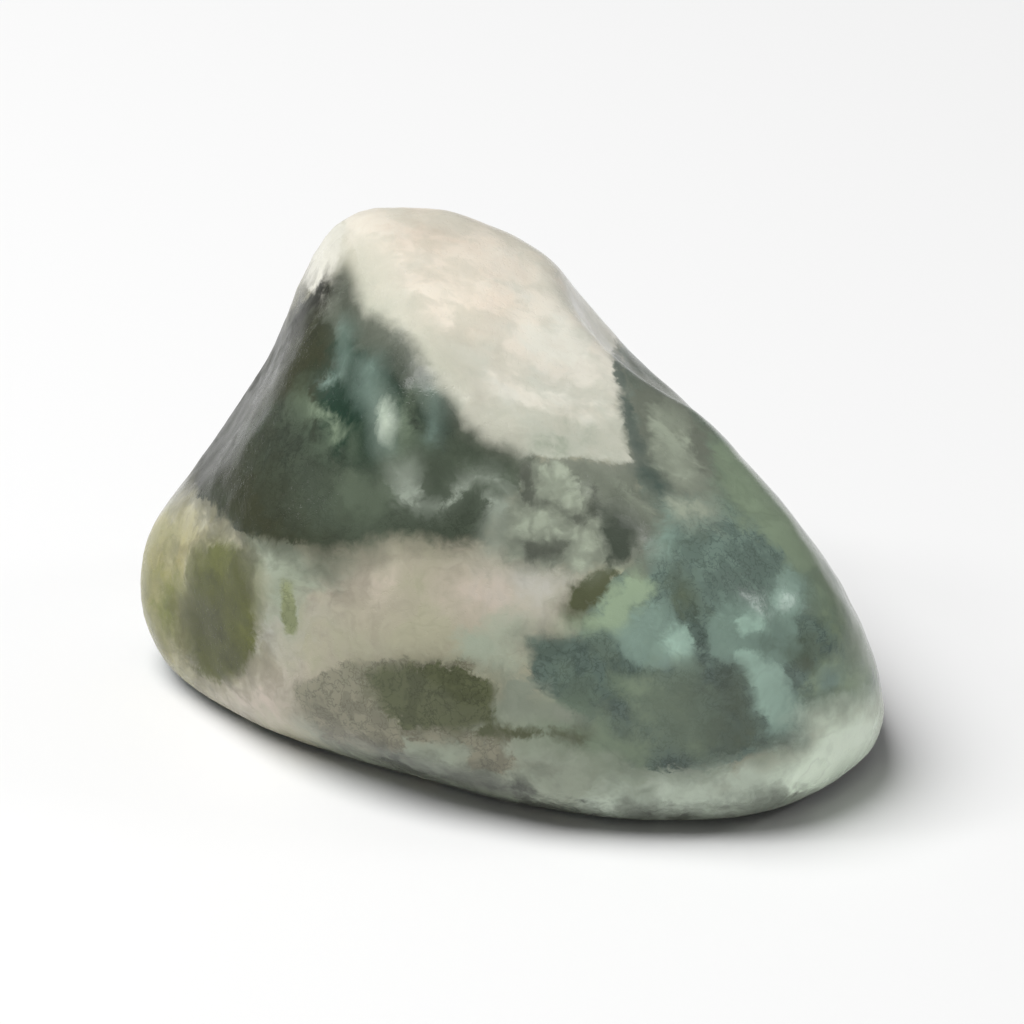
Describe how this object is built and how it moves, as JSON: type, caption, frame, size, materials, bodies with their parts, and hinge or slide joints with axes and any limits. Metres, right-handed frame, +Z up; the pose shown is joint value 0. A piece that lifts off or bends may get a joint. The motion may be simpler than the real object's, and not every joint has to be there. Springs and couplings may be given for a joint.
{
  "type": "moss agate chip",
  "caption": "Tumbled chip of moss agate: one small green and white stone with worn ridges and a flat underside that it rests on.",
  "frame": {"origin": "middle of the footprint, on the surface that the chip rests on", "axes": "+X along the longest side, +Z up from the resting surface, -Y towards the viewer who sees the broad front face"},
  "size_m": [0.018, 0.0136, 0.0114],
  "materials": {
    "agate": "tumbled to a wet-looking gloss"
  },
  "bodies": {
    "root": {"agate_chip": "agate"}
  },
  "joints": []
}
